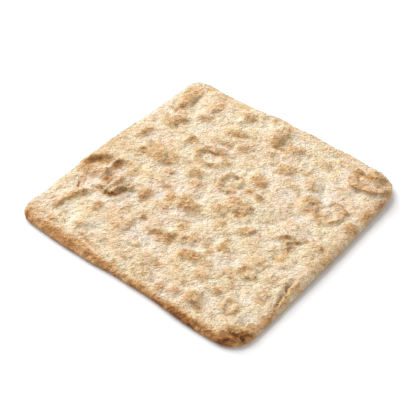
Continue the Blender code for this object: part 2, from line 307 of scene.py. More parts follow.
TOAST_AND_SHADE_PATCHES: tuple[Patch, ...] = tuple(Patch(*row) for row in (
    # Left side
    # The two dark patches along the ridge at the left edge are painted shade on its lee side
    (-82, -27, 11, 6, DARK, 55, 0.7), (-78, -21.5, 13, 6, DARK, 55, 0.7),
    (-74, -19.5, 9, 6, BROWN, 70), (-79, -15, 14, 9, TAN, 20, 0.5),
    (-79, -33, 16, 10, GOLDEN, 160, 0.9), (-72, -31, 16, 7, GOLDEN, 10, 1.0),
    (-61.5, -32, 7, 5, DARK, 20, 0.7), (-61, -28, 3, 7, BROWN, 10, 0.7),
    (-65, -17, 4.5, 9, DARK, 20, 0.7), (-51.5, -18.5, 6, 3.6, BROWN, 30),
    # The brown and dark strokes below the large bubble lie on its steep outer wall: partly toasted,
    # partly painted shade
    (-56, -13, 14, 7, TAN, 10, 0.5), (-56, -41.5, 9, 2.6, BROWN, 172),
    (-50, -40.3, 8, 3, SCORCHED_AND_DEEP_SHADE, 22, 0.7), (-45.6, -34.5, 3, 9, DARK, 165),
    (-52, -31, 3, 7, BROWN, 10), (-45, -28, 12, 5, TAN, 30, 0.5), (-33, -27, 8, 10, BROWN),
    (-31, -27, 3, 8, BROWN, 0, 0.7), (-37, -28, 5, 4, GOLDEN, 0, 0.5),
    # The long brown stroke beside the standing fold is partly toasted and partly painted shade on
    # its lee
    (-66, -54, 4.5, 14, BROWN, 158, 0.7), (-69.5, -60, 5, 9, GOLDEN, 165, 0.5),
    (-70, -68, 4, 5, BROWN), (-73.2, -44.5, 3.4, 11, BROWN, 18, 0.7),
    (-76, -65, 2.2, 5, BROWN, 155, 0.7), (-49, -54, 4, 8, BROWN, 20),
    (-74, 19, 2.8, 12, BROWN, 175, 0.7),
    # Back left quarter
    (-75, 68, 10, 18, TAN, 0, 0.7), (-75, 65.5, 5, 4, BROWN, 0, 0.9),
    (-72.5, 55, 5, 9, BROWN, 170), (-75.5, 50.5, 6, 4, BROWN), (-68.5, 62, 2.4, 12, GOLDEN, 5),
    (-76, 74, 12, 8, GOLDEN, 60, 1.0), (-71, 81, 10, 4, TAN, 0, 0.9),
    (-64, 42, 11, 9, GOLDEN, 40, 1.0), (-68, 37, 10, 5, GOLDEN, 10, 0.9),
    (-51, 72, 4.5, 4.5, BROWN), (-51, 62.5, 7, 4, TAN, 40), (-51, 53, 7, 5, TAN, 30, 0.9),
    (-47, 58, 7, 3, TAN, 30), (-29, 74.5, 11, 7, TAN, 0, 0.6), (-26, 74, 5, 5, GOLDEN, 0, 0.9),
    (-23.5, 56, 7, 7, GOLDEN), (-22.5, 53, 4, 3.5, BROWN), (-29, 52.5, 6, 3, GOLDEN, 20),
    (-22, 42.5, 8, 4, GOLDEN), (-12, 46, 9, 6, TAN, 0, 0.7), (-15, 58, 6, 3, TAN, 30),
    # The thin brown stroke along the open ring's inner ridge is painted shade on the face turned
    # from the light
    (-33, 26.5, 4, 6, GOLDEN, 150, 0.9), (-29, 34, 5, 4, GOLDEN), (-26, 30.5, 11, 2.6, BROWN, 15),
    (-18.2, 33, 4, 3.4, DARK), (-13.5, 25, 5, 10, TAN, 155, 0.9),
    (-20, 19.5, 9, 4, GOLDEN, 20, 0.9), (-30, 20.5, 6, 4, GOLDEN, 150, 0.9),
    (-44.5, 31.5, 6, 5, GOLDEN), (-45, 32, 2, 2, DARK, 0, 0.9), (-54, 25, 7, 3, TAN, 20, 0.9),
    (-62, 12.5, 11, 8, TAN, 30, 0.7), (-58.5, 11, 8, 2.6, BROWN, 10), (-62, 5, 10, 5, GOLDEN, 10),
    (-60, 4, 4.5, 3.5, BROWN, 0, 0.9), (-46, 8, 17, 13, TAN, 10, 0.6),
    (-49, 5, 7, 6, BROWN, 0, 1.0), (-41, 8, 5, 7, GOLDEN), (-42, 3.5, 5, 2.4, BROWN),
    (-45, 14, 6, 3, GOLDEN, 0, 0.9), (-35, -1, 7, 4, BROWN, 10), (-20.5, 7, 8, 5, GOLDEN, 20),
    (-15, 11, 5, 4, TAN), (-14.5, 0.5, 10, 5, GOLDEN, 15), (-12.5, 81, 5, 4, TAN),
    (-45, 81, 30, 5, TAN),
    # Back right quarter
    (-3, 76, 7, 9, TAN, 0, 0.7), (2.5, 76, 4.5, 13, BROWN, 16), (1, 65, 14, 9, GOLDEN, 10, 0.9),
    (3, 62, 8, 3, GOLDEN), (9, 70.5, 4, 3.5, GOLDEN), (16, 64, 11, 10, TAN),
    (8, 61.5, 8, 2.2, BROWN, 5), (4.5, 54, 5, 5, TAN), (23.5, 47, 8, 6, GOLDEN, 20),
    (20, 42, 4, 2.6, BROWN), (26, 51, 4, 2.6, GOLDEN), (33.5, 52, 5, 3.5, GOLDEN),
    (46, 43, 6, 4, TAN, 0, 0.9), (36, 37, 6, 4, GOLDEN), (14, 29.5, 9, 6, GOLDEN, 0, 0.7),
    (18, 26, 6, 5.5, BROWN, 0, 0.9), (16, 17, 5, 4.5, DARK, 0, 0.9), (24, 14.5, 5, 4, GOLDEN),
    (26, 19, 6, 3.5, TAN), (-2, 18, 5, 7, GOLDEN), (2.5, 23, 3, 4, BROWN),
    (-3.5, 9, 5, 7, GOLDEN, 30), (7, 6, 6, 3.5, BROWN), (5, 14, 7, 8, TAN, 0, 0.7),
    (47.5, 34, 3, 6, GOLDEN), (52.5, 32, 9, 2.6, BROWN, 10), (54.5, 35.5, 4.5, 5, GOLDEN, 0, 0.9),
    (55, 26.5, 11, 8, GOLDEN), (72.5, 35, 2.6, 9, BROWN, 15, 0.7), (64, 41.5, 8, 2.4, GOLDEN),
    (67, 25, 14, 7, GOLDEN), (61.5, 28, 3, 4, BROWN), (44.5, 26, 5, 7, TAN),
    (84, 28, 7, 7, BROWN, 60, 0.9), (85.5, 43, 6, 11, BROWN, 0, 0.9), (87, 57, 4, 12, GOLDEN),
    (49, 11, 7, 2.2, BROWN, 10), (68.5, 3.5, 2.8, 10, GOLDEN, 135),
    (63.5, -3.5, 2.6, 8, BROWN, 135), (57.5, -3, 8, 4, TAN, 30),
    (59, -2, 2.4, 5, GOLDEN, 160, 0.9), (77, 3.5, 9, 7, TAN), (80.5, 1.5, 4, 2.4, GOLDEN, 0, 1.0),
    (50, 76, 10, 6, TAN), (39, 67, 12, 5, TAN),
    # The curled corner
    (75, 76, 23, 15, TAN, 0, 0.6), (72.5, 62.5, 14, 3.2, GOLDEN), (63.5, 68, 3.2, 11, GOLDEN, 25),
    (80.5, 65, 8, 3.2, GOLDEN, 30), (85.5, 69, 5, 6, BROWN), (63.5, 73, 4, 3, SCORCHED_AND_DEEP_SHADE),
    (68.5, 73, 4, 3, DARK, 0, 0.9), (71, 69, 8, 4, PALE, 0, 0.7), (79, 73, 9, 7, TAN),
    (78, 78, 12, 2.4, GOLDEN), (70, 78, 8, 2.2, GOLDEN),
    # Front right quarter
    # The dark patch at the steep end of the dome in the middle is partly toasted and partly painted
    # shade on its lee
    (26, 0, 4, 8, TAN, 165, 0.9), (23.5, -4, 8, 4, DARK, 10, 0.6), (19, -2, 12, 6, TAN, 10, 1.0),
    (10.5, -7.5, 8, 5, GOLDEN, 0, 0.9), (15, -11, 10, 5, TAN, 0, 0.9),
    (21, -16.5, 5, 3.5, GOLDEN, 0, 0.9), (38.5, -14, 2.6, 9, GOLDEN, 140, 0.9),
    (35, -13, 8, 6, TAN, 40), (32, -25.5, 4, 4, GOLDEN, 0, 1.0), (34, -33, 6, 6, BROWN, 0, 0.9),
    (17, -35, 15, 8, TAN, 10, 0.9), (28.5, -39.5, 7, 4.5, BROWN, 150, 0.9),
    (13, -41, 10, 3, GOLDEN, 15), (22, -49, 13, 6, BROWN, 20, 1.0), (33, -49, 8, 7, TAN),
    (36, -57.5, 9, 5, TAN, 20, 1.0), (54, -37, 4, 4, BROWN, 0, 0.9), (61, -41.5, 4, 5, BROWN, 150),
    (56, -41, 7, 5, TAN), (48, -44.5, 6, 6, GOLDEN), (53, -48, 3, 2.4, DARK, 0, 0.9),
    (46, -52, 4, 3, TAN, 0, 0.9), (75, -48, 9, 9, TAN, 0, 0.7), (75, -52, 7, 3, GOLDEN),
    (72, -35.5, 10, 4, TAN, 0, 0.7), (64.5, -12, 5, 13, GOLDEN, 170, 0.9),
    # The long dark stroke down the right side is painted shade in the crease there
    (64, -19.5, 3.4, 2.6, BROWN, 0, 0.9), (83.5, -38, 2.2, 23, DARK, 8, 0.6),
    (81.5, -12, 4, 6, TAN, 0, 0.9), (52, -62, 4, 3.6, BROWN), (49, -60.5, 6, 4, TAN),
    (64, -63, 4.5, 3, BROWN, 30), (67.5, -68, 7, 5, GOLDEN, 30, 0.9), (61.5, -68, 4, 5, TAN),
    (46, -71, 5, 2.2, BROWN), (45, -74.5, 6, 7, TAN, 120), (51, -78, 7, 2.6, BROWN, 150),
    (31.5, -67.5, 10, 5, TAN, 20), (34, -76, 7, 5, TAN, 0, 0.9), (25, -80.5, 5, 5, BROWN, 0, 0.9),
    (12, -66.5, 3, 3.4, BROWN), (8, -65.5, 5, 4, TAN), (20, -61, 7, 4, TAN, 0, 1.0),
    (87, -62, 4, 24, GOLDEN), (82.5, -72, 3, 7, DARK, 160), (81, -78, 14, 14, BROWN, 0, 0.7),
    (83, -76, 9, 4, SCORCHED_AND_DEEP_SHADE, 20, 0.7), (80, -80, 10, 5, SCORCHED_AND_DEEP_SHADE, 25),
    (84.5, -80, 5, 4, SCORCHED_AND_DEEP_SHADE, 20, 0.7), (80.5, -84, 10, 3, DARK, 30, 0.7),
    (79.5, -77.2, 6, 1.3, PALE, 25), (74, -81, 6, 8, GOLDEN, 0, 0.9),
    # Front left quarter
    (-7, -17, 16, 11, GOLDEN, 160, 0.7), (-6, -16.5, 7, 4, BROWN, 20, 0.9),
    (-7.5, -20.5, 9, 3.4, BROWN, 20, 0.9), (-11, -15, 6, 6, TAN, 0, 0.9),
    (-25, -13.5, 9, 6, GOLDEN, 0, 0.9), (-18.5, -19.5, 5, 7, BROWN, 0, 0.9),
    (-19, -28, 9, 6, TAN, 0, 1.0), (1.4, -29.5, 9, 3.4, GOLDEN, 20, 0.9),
    (4.5, -33.5, 7, 4, GOLDEN, 30, 0.9), (-20, -43, 3.6, 3.4, BROWN, 0, 0.9),
    (-33, -46, 5, 4.5, TAN), (-29.5, -54, 19, 11, TAN, 10, 0.6), (-34, -57, 7, 5, GOLDEN, 0, 0.9),
    (-26, -59, 8, 4, TAN), (-3, -48, 16, 4.5, GOLDEN, 8), (3.5, -46, 5, 7, BROWN, 0, 0.9),
    (2.5, -50.5, 8, 3, BROWN, 20), (-7, -48.5, 5, 2.4, BROWN),
    (-56.5, -77, 3.6, 5, GOLDEN, 30, 0.9), (-63, -79.5, 6, 4, BROWN, 0, 0.9),
    (-48, -72.5, 5, 4, GOLDEN, 0, 0.9), (-41.5, -78, 4.5, 2.4, BROWN),
    (-31, -79, 13, 2.2, BROWN, 176), (-33, -83, 12, 2.2, BROWN, 176),
    (-9, -75, 9, 4, GOLDEN, 0, 0.9), (-8, -82.5, 5, 4, BROWN, 0, 0.9),
    (-24, -72.5, 10, 4, TAN, 0, 1.0), (-80, -79, 8, 9, GOLDEN), (-78, -84, 4, 6, BROWN, 20),
    (-52, -84.5, 22, 5, BROWN), (-22, -86, 34, 3.6, GOLDEN, 0, 0.9),
    (50, -87, 60, 3.0, GOLDEN, 0, 0.9),
))

LAYERS: tuple[Layer, ...] = (
    Layer("swells", Noise.CLOUDS, 16.0, 1.6, "Z", "inner"),
    Layer("pillows", Noise.CELLS, 13.0, -2.2, "Z", "inner"),
    Layer("drift_x", Noise.CLOUDS, 6.5, 3.4, "X", "inner"),
    Layer("drift_y", Noise.CLOUDS, 7.5, 3.4, "Y", "inner"),
    Layer("hills", Noise.CELLS, 6.5, -1.2, "Z", "inner"),
    Layer("wrinkles", Noise.CLOUDS, 1.9, 1.4, "NORMAL", "skin", 3.0),
    Layer("lumps", Noise.CLOUDS, 2.8, 1.3, "NORMAL", "skin"),
    Layer("grain", Noise.CLOUDS, 1.4, 1.0, "NORMAL", "skin"),
)


def srgb(code: str) -> tuple[float, float, float, float]:
    """Turns an sRGB hex value into the linear colour that a shader reads.

    Args:
        code: Six hex digits, such as "E9D8BE".

    Returns:
        Red, green, blue and alpha, the first three linear.
    """
    shares = [int(code[start:start + 2], 16) / 255 for start in (0, 2, 4)]
    linear = [s / 12.92 if s <= 0.04045 else ((s + 0.055) / 1.055) ** 2.4 for s in shares]
    return linear[0], linear[1], linear[2], 1.0


def add_node(tree: bpy.types.NodeTree, kind: str, settings: dict[str, Any] | None = None,
             inputs: dict[str | int, Any] | None = None) -> bpy.types.Node:
    """Adds one node with its settings, values and links.

    Args:
        tree: The material's node tree.
        kind: The node's type name, such as "ShaderNodeTexNoise".
        settings: Properties of the node by name.
        inputs: A value, or an output socket to link, for each input by name or number.

    Returns:
        The new node.
    """
    node = tree.nodes.new(kind)
    for name, value in (settings or {}).items():
        setattr(node, name, value)
    for name, value in (inputs or {}).items():
        if isinstance(value, bpy.types.NodeSocket):
            tree.links.new(value, node.inputs[name])
        else:
            node.inputs[name].default_value = value
    return node


def noise(tree: bpy.types.NodeTree, place: bpy.types.NodeSocket, size: float, detail: float,
          roughness: float = 0.5, distortion: float = 0.0) -> bpy.types.NodeSocket:
    """Adds noise with lumps of about this size in mm."""
    return add_node(tree, "ShaderNodeTexNoise", None, {
        "Vector": place, "Scale": 1.0 / (size * MM), "Detail": detail, "Roughness": roughness,
        "Distortion": distortion}).outputs["Fac"]


def combine(tree: bpy.types.NodeTree, operation: str, *values: Any,
            clamp: bool = False) -> bpy.types.NodeSocket:
    """Adds one sum, such as ADD, of up to three numbers or sockets."""
    return add_node(tree, "ShaderNodeMath", {"operation": operation, "use_clamp": clamp},
                    dict(enumerate(values))).outputs[0]


def spread(tree: bpy.types.NodeTree, value: bpy.types.NodeSocket, old: Pair,
           new: Pair = (0.0, 1.0), clamp: bool = True) -> bpy.types.NodeSocket:
    """Adds a step that maps the old range of a value onto a new one."""
    return add_node(tree, "ShaderNodeMapRange", {"clamp": clamp}, {
        "Value": value, "From Min": old[0], "From Max": old[1],
        "To Min": new[0], "To Max": new[1]}).outputs["Result"]


def deselect_everything() -> None:
    """Leaves no object selected, with Blender in object mode."""
    if bpy.context.object and bpy.context.object.mode != "OBJECT":
        bpy.ops.object.mode_set(mode="OBJECT")
    bpy.ops.object.select_all(action="DESELECT")


def apply_modifier(piece: bpy.types.Object, kind: str, **settings: Any) -> None:
    """Adds a modifier with its settings to a piece and applies it.

    Args:
        piece: The object, which becomes the active one.
        kind: The modifier's type, such as "DISPLACE".
        **settings: Its properties by name.
    """
    bpy.context.view_layer.objects.active = piece
    modifier = piece.modifiers.new(kind.lower(), kind)
    for name, value in settings.items():
        setattr(modifier, name, value)
    bpy.ops.object.modifier_apply(modifier=modifier.name)


def positions(piece: bpy.types.Object) -> np.ndarray:
    """The piece's vertex positions in mm, one row each."""
    flat = np.empty(len(piece.data.vertices) * 3, np.float32)
    piece.data.vertices.foreach_get("co", flat)
    return flat.reshape(-1, 3).astype(float) / MM


def smooth_step(value: np.ndarray, start: float, end: float) -> np.ndarray:
    """0 before start, 1 past end and a smooth rise between them."""
    share = np.clip((value - start) / (end - start), 0.0, 1.0)
    return share * share * (3.0 - 2.0 * share)


def cloud(x: np.ndarray, y: np.ndarray, spacing: float, seed: int) -> np.ndarray:
    """Smooth random values from -1 to 1 over the sheet.

    Args:
        x: Places along X, in mm.
        y: Places along Y, in mm.
        spacing: Distance between the random values, in mm.
        seed: Picks the values.

    Returns:
        One value for each place.
    """
    reach = 110.0
    count = int(2 * reach / spacing) + 3
    values = np.random.default_rng(seed).uniform(-1.0, 1.0, (count, count))
    u, v = (x + reach) / spacing, (y + reach) / spacing
    column, row = np.floor(u).astype(int), np.floor(v).astype(int)
    across, along = smooth_step(u - column, 0.0, 1.0), smooth_step(v - row, 0.0, 1.0)
    near = values[column, row] * (1 - across) + values[column + 1, row] * across
    far = values[column, row + 1] * (1 - across) + values[column + 1, row + 1] * across
    return near * (1 - along) + far * along


def standing_proud(x: np.ndarray, y: np.ndarray, z: np.ndarray, reach: float) -> np.ndarray:
    """How far each place stands above the dough round it.

    Args:
        x: Places along X, in mm.
        y: Places along Y, in mm.
        z: Heights, in mm.
        reach: How far round a place its surroundings are averaged, in mm.

    Returns:
        One height for each place, in mm, below 0 in a hollow.
    """
    half = 100    # The grid's squares are 1 mm wide
    count = 2 * half
    top_from = 3.0
    column = np.clip(np.round(x + half).astype(int), 0, count)
    row = np.clip(np.round(y + half).astype(int), 0, count)
    total, weight = np.zeros((count + 1, count + 1)), np.zeros((count + 1, count + 1))
    top = z > top_from
    np.add.at(total, (column[top], row[top]), z[top])
    np.add.at(weight, (column[top], row[top]), 1.0)
    steps = np.arange(-3 * reach, 3 * reach + 1)
    bell = np.exp(-0.5 * (steps / reach) ** 2)
    for axis in (0, 1):
        total = np.apply_along_axis(np.convolve, axis, total, bell, mode="same")
        weight = np.apply_along_axis(np.convolve, axis, weight, bell, mode="same")
    return z - (total / np.maximum(weight, 1e-9))[column, row]


class Sculptor:
    """Pulls and presses one mesh in edit mode, with proportional moves of its top."""

    def __init__(self, piece: bpy.types.Object, top_from: float,
                 hide_under: float = -1.0) -> None:
        """Opens the piece for editing.

        Args:
            piece: The mesh object.
            top_from: Height in mm above which a vertex can be taken hold of.
            hide_under: Height in mm below which the mesh is hidden and stays as it is.
        """
        self.piece = piece
        places = positions(piece)
        top = np.nonzero(places[:, 2] > top_from)[0]
        self.tree = kdtree.KDTree(len(top))
        for index in top:
            self.tree.insert((places[index, 0], places[index, 1], 0.0), int(index))
        self.tree.balance()
        self.held: list[int] = []
        deselect_everything()
        bpy.context.view_layer.objects.active = piece
        bpy.ops.object.mode_set(mode="EDIT")
        bpy.ops.mesh.select_mode(type="VERT")
        bpy.ops.mesh.select_all(action="DESELECT")
        under = np.nonzero(places[:, 2] < hide_under)[0]
        self.hold(int(index) for index in under)
        bpy.ops.mesh.hide(unselected=False)
        self.held = []

    def hold(self, indices: Iterable[int]) -> None:
        """Selects these vertices and no others."""
        mesh = bmesh.from_edit_mesh(self.piece.data)
        mesh.verts.ensure_lookup_table()
        for index in self.held:
            mesh.verts[index].select = False
        self.held = list(indices)
        for index in self.held:
            mesh.verts[index].select = True
        bmesh.update_edit_mesh(self.piece.data, loop_triangles=False, destructive=False)

    def near(self, points: Iterable[Point], core: float) -> set[int]:
        """Top vertices within core of the points, and at least the nearest one to each."""
        found: set[int] = set()
        for x, y in points:
            place = (x * READ_SCALE, y * READ_SCALE, 0.0)
            found.add(self.tree.find(place)[1])
            if core > 0.0:
                found.update(hit[1] for hit in self.tree.find_range(place, core * READ_SCALE))
        return found

    def pull(self, points: Iterable[Point], core: float, reach: float, way: Place,
             falloff: Falloff) -> None:
        """Moves the top round these points, less and less out to reach.

        Args:
            points: Places that get the whole move, in mm.
            core: How far round each point the whole move is given.
            reach: How far beyond that the move runs out.
            way: The move in mm along X, Y and Z.
            falloff: How it runs out.
        """
        self.hold(self.near(points, core))
        self.move(way, reach * READ_SCALE, falloff)

    @staticmethod
    def move(way: Place, reach: float, falloff: Falloff = Falloff.SOFT) -> None:
        """Moves what is held, and what is round it less and less out to reach, in mm."""
        bpy.ops.transform.translate(
            value=tuple(m * MM for m in way), use_proportional_edit=True,
            proportional_edit_falloff=falloff.value, proportional_size=reach * MM)

    def close(self) -> None:
        """Shows all of the mesh again and leaves edit mode."""
        bpy.ops.mesh.reveal(select=False)
        bpy.ops.mesh.select_all(action="DESELECT")
        bpy.ops.object.mode_set(mode="OBJECT")


def along_line(points: Sequence[Point], step: float = 0.7) -> list[Point]:
    """Points every step mm along the straight runs between the given points."""
    found: list[Point] = []
    for (x0, y0), (x1, y1) in zip(points, points[1:]):
        count = max(1, round(math.hypot(x1 - x0, y1 - y0) / step))
        found += [(x0 + (x1 - x0) * i / count, y0 + (y1 - y0) * i / count) for i in range(count)]
    return found + [points[-1]]


@dataclass(frozen=True)
class BakedCrust:
    """Dry crust of unleavened dough: rolled out, dusted with flour and baked on a hot floor.

    To the eye that is a matt, chalky cream where flour lies in the hollows, warming to tan and
    brown on what stood up towards the heat, with a fine rough grain everywhere.
    """

    name: str = "baked_crust"
    flour: str = "F6ECDF"
    dough: str = "EFD9BB"
    tan: str = "E0BA8E"
    golden: str = "C99662"
    brown: str = "A0683A"
    # The darkest stop: burnt crust, and the deepest painted shade
    scorched_and_deep_shade: str = "5A2E15"
    roughness: float = 0.9
    rosy: str = "FFFBF8"
    yellow: str = "FFFDF1"
    grain_mm: float = 1.25
    crackle_mm: float = 2.0
    wrinkle_turn: float = 39.0
    wrinkle_stretch: float = 1.7
    mottle_mm: float = 7.0
    mottle_gain: float = 0.5
    drift_mm: float = 22.0

    # How deep the painted shade in each pit is, and how strongly the wrinkles shade the dough,
    # where it is raw and where it is toasted
    pit_shade_depth: Pair = (0.07, 0.34)
    bump_strength: Pair = (0.88, 1.0)

    grain_shade: Pair = (0.82, 1.18)
    crackle_height: float = 1.6
    bump_mm: float = 1.9
    ior: float = 1.45
    specular: float = 0.3
    scatter: float = 0.15
    scatter_mm: float = 2.5

    def material(self) -> bpy.types.Material:
        """Builds the crust's material.

        Returns:
            The material, which reads how toasted each place is, and its painted shade, from the
            mesh.
        """
        material = bpy.data.materials.new(self.name)
        material.use_nodes = True
        tree = material.node_tree
        shader = tree.nodes["Principled BSDF"]
        place = add_node(tree, "ShaderNodeTexCoord").outputs["Object"]
        toast_and_shade = add_node(tree, "ShaderNodeAttribute", {"attribute_name": "toast_and_shade"}).outputs["Fac"]

        # The grain of the crust is finer than 1 mm. It is drawn a little coarser, to show at all.
        grain = noise(tree, place, self.grain_mm, 3.0, 0.6)
        # The skin dried in wrinkles that run mostly one way
        drawn = add_node(tree, "ShaderNodeMapping", {"vector_type": "TEXTURE"}, {
            "Vector": place, "Rotation": (0.0, 0.0, math.radians(self.wrinkle_turn)),
            "Scale": (self.wrinkle_stretch, 1.0, 1.0)}).outputs["Vector"]
        crackle = noise(tree, drawn, self.crackle_mm, 2.0, 0.65, 0.6)
        mottle = noise(tree, place, self.mottle_mm, 4.0, 0.62)
        drift = noise(tree, place, self.drift_mm, 1.0)

        # Toasting is uneven, so the painted amount is broken up
        mottled = combine(tree, "MULTIPLY_ADD", mottle, self.mottle_gain, -self.mottle_gain / 2)
        amount = combine(tree, "ADD", toast_and_shade, mottled, clamp=True)
        # The ramp's darker stops also give the painted shade that patches lay on lee slopes and in
        # creases
        ramp = add_node(tree, "ShaderNodeValToRGB", None, {"Fac": amount})
        stops = ((0.0, self.flour), (0.2, self.dough), (0.4, self.tan), (0.6, self.golden),
                 (0.8, self.brown), (1.0, self.scorched_and_deep_shade))
        elements = ramp.color_ramp.elements
        elements[0].position, elements[0].color = stops[0][0], srgb(stops[0][1])
        elements[1].position, elements[1].color = stops[-1][0], srgb(stops[-1][1])
        for position, code in stops[1:-1]:
            elements.new(position).color = srgb(code)

        # The raw dough drifts between a rosier and a yellower cream
        leaning = spread(tree, drift, (0.35, 0.65))
        tint = add_node(tree, "ShaderNodeMix", {"data_type": "RGBA"}, {
            "Factor": leaning, 6: srgb(self.rosy), 7: srgb(self.yellow)}).outputs[2]
        colour = add_node(tree, "ShaderNodeMix", {"data_type": "RGBA", "blend_type": "MULTIPLY"}, {
            "Factor": 1.0, 6: ramp.outputs["Color"], 7: tint}).outputs[2]

        # Painted shade darkens the hollows between the grains and painted light brightens the
        # crests, more so where the crust is toasted
        pit_shade = spread(tree, crackle, (0.32, 0.62), (-1.0, 0.6), clamp=False)
        depth = spread(tree, amount, (0.1, 0.6), self.pit_shade_depth)
        fine = spread(tree, grain, (0.3, 0.7), self.grain_shade, clamp=False)
        shade = combine(tree, "MULTIPLY_ADD", pit_shade, depth, fine)
        colour = add_node(tree, "ShaderNodeVectorMath", {"operation": "SCALE"}, {
            0: colour, "Scale": shade}).outputs[0]

        height = combine(tree, "MULTIPLY_ADD", crackle, self.crackle_height, grain)
        # Flour fills the wrinkles of the pale dough
        bare = spread(tree, amount, (0.1, 0.45), self.bump_strength)
        bump = add_node(tree, "ShaderNodeBump", None, {
            "Height": height, "Strength": bare, "Distance": self.bump_mm * MM}).outputs["Normal"]
        tree.links.new(colour, shader.inputs["Base Color"])
        tree.links.new(bump, shader.inputs["Normal"])
        shader.inputs["Roughness"].default_value = self.roughness
        shader.inputs["IOR"].default_value = self.ior
        shader.inputs["Specular IOR Level"].default_value = self.specular
        shader.inputs["Subsurface Weight"].default_value = self.scatter
        shader.inputs["Subsurface Radius"].default_value = (1.0, 0.7, 0.5)
        shader.inputs["Subsurface Scale"].default_value = self.scatter_mm * MM
        return material


@dataclass(frozen=True)
class Toasting:
    """How far the oven took the dough apart from the patches, and how strongly those show."""

    dough: float = 0.195
    drift: float = 0.06
    proud: float = 0.16
    hollow: float = 0.12
    patches: float = 0.78
    front_rim: float = 0.39
    front_foot: float = 0.2
    right_rim: float = 0.1
    other_rims: float = 0.19


@dataclass
class MatzoSheet:
    """The sheet of bread, with its sizes in mm."""

    name: str = "matzo_bread"
    side: float = 170.4
    dough: float = 4.9
    rim_reach: float = 5.5
    rim_height: float = 1.9
    foot_reach: float = 1.8
    core: float = 0.2
    corner_radii: tuple[float, float, float, float] = (13.0, 22.0, 9.0, 13.0)
    corner_segments: int = 10
    rim_steps: int = 5
    foot_steps: int = 3
    voxel: float = 1.8
    crust: BakedCrust = field(default_factory=BakedCrust)
    toasting: Toasting = field(default_factory=Toasting)
    seed: int = 7

    # Heights above which the top is taken hold of, and below which nothing moves
    grip_from: float = 2.5
    still_under: float = 1.2

    # Heights of the features, as shares of those read off the photograph
    relief_gain: float = 1.25
    fold_gain: float = 0.8

    # A blister is pulled up twice, first broad and then narrow: reach as a share of its width,
    # and rise as a share of its height
    body: Pair = (0.74, 0.65)
    crown: Pair = (0.5, 0.35)
    core_share: float = 0.14
    nudge_share: float = 0.05
    least_lump: float = 1.6

    # A fold is pulled up whole, by this share of its height, and then in short uneven runs
    fold_base: float = 0.55
    run_points: tuple[int, int] = (3, 7)
    run_reach: Pair = (0.32, 0.6)
    run_rise: Pair = (0.2, 0.75)

    # The rim of a fallen blister sways in and out, and leans in runs of three points
    ring_sway: float = 0.09
    ring_spacing: float = 2.4
    ring_spread: float = 1.25
    ring_run: int = 3

    # The lift of the corner beyond x + y, and of the side beyond x from y on
    corner_from: float = 152.0
    corner_lift: float = 1.2
    corner_reach: float = 38.0
    side_from: Pair = (85.0, -16.0)
    side_lift: float = 0.8
    side_reach: float = 30.0

    # The direction of the fine wrinkles, in degrees from X
    wrinkle_turn: float = -28.0

    # Slow waves of the sides: place along X or Y, outward direction, reach and amount
    waves: tuple[tuple[float, int, int, float, float], ...] = (
        (-5, 1, 0, 130, 2.6), (-60, 1, 0, 34, 0.5), (35, 1, 0, 34, 0.3),
        (-12, 0, 1, 15, 1.4), (0, 0, 1, 56, 1.2), (17, 0, 1, 20, 1.0), (43, 0, 1, 15, 0.6),
        (66, 0, 1, 24, -1.6), (-70, 0, 1, 14, 1.0),
        (-2, -1, 0, 43, 1.5), (-23, -1, 0, 12, 1.6), (62, -1, 0, 27, -0.9), (-62, -1, 0, 14, -1.0),
        (-45, 0, -1, 57, 2.2), (-22, 0, -1, 15, 0.5), (54, 0, -1, 43, 2.2), (8, 0, -1, 23, 0.5))

    def build(self) -> bpy.types.Object:
        """Makes the whole sheet.

        Returns:
            The finished object, at the origin.
        """
        piece = self.roll_out()
        self.wave_the_sides(piece)
        self.raise_the_blisters(piece)
        self.roughen(piece)
        self.paint(piece)
        self.curl(piece)
        piece.data.shade_smooth()
        piece.data.materials.clear()
        piece.data.materials.append(self.crust.material())
        return piece

    def roll_out(self) -> bpy.types.Object:
        """Rolls out the plain slab, with round corners and a rounded rim.

        Returns:
            The slab as an even mesh of quads.
        """
        deselect_everything()
        bpy.ops.mesh.primitive_cube_add(
            size=1.0, location=(0, 0, self.rim_height * MM),
            scale=(self.side * MM, self.side * MM, self.core * MM))
        piece = bpy.context.object
        piece.name = piece.data.name = self.name
        bpy.ops.object.transform_apply(location=True, rotation=False, scale=True)
        bpy.ops.object.mode_set(mode="EDIT")
        corners = ((1, -1), (1, 1), (-1, 1), (-1, -1))
        for (x, y), radius in zip(corners, self.corner_radii):
            self.select_edges(piece, lambda edge, x=x, y=y: self.stands_at(edge, x, y))
            bpy.ops.mesh.bevel(offset=radius * MM, segments=self.corner_segments, affect="EDGES")
        rise = self.dough - self.rim_height - self.core / 2
        fall = self.rim_height - self.core / 2
        self.round_over(piece, 1, self.rim_reach, rise, self.rim_steps)
        self.round_over(piece, -1, self.foot_reach, fall, self.foot_steps)
        bpy.ops.object.mode_set(mode="OBJECT")
        apply_modifier(piece, "REMESH", mode="VOXEL", voxel_size=self.voxel * MM)
        apply_modifier(piece, "SUBSURF", levels=1, render_levels=1)
        return piece

    def stands_at(self, edge: bmesh.types.BMEdge, x: float, y: float) -> bool:
        """Whether an edge of the block stands upright at the corner towards x, y."""
        almost = 0.49 * self.side * MM
        near = all(v.co.x * x > almost and v.co.y * y > almost for v in edge.verts)
        return near and abs(edge.verts[0].co.z - edge.verts[1].co.z) > 0.5 * self.core * MM

    @staticmethod
    def select_edges(piece: bpy.types.Object, wanted: Callable[[bmesh.types.BMEdge], bool]) -> None:
        """Selects the edges that wanted says yes to, and no others."""
        bpy.ops.mesh.select_mode(type="EDGE")
        bpy.ops.mesh.select_all(action="DESELECT")
        mesh = bmesh.from_edit_mesh(piece.data)
        for edge in mesh.edges:
            if wanted(edge):
                edge.select_set(True)
        bmesh.update_edit_mesh(piece.data)

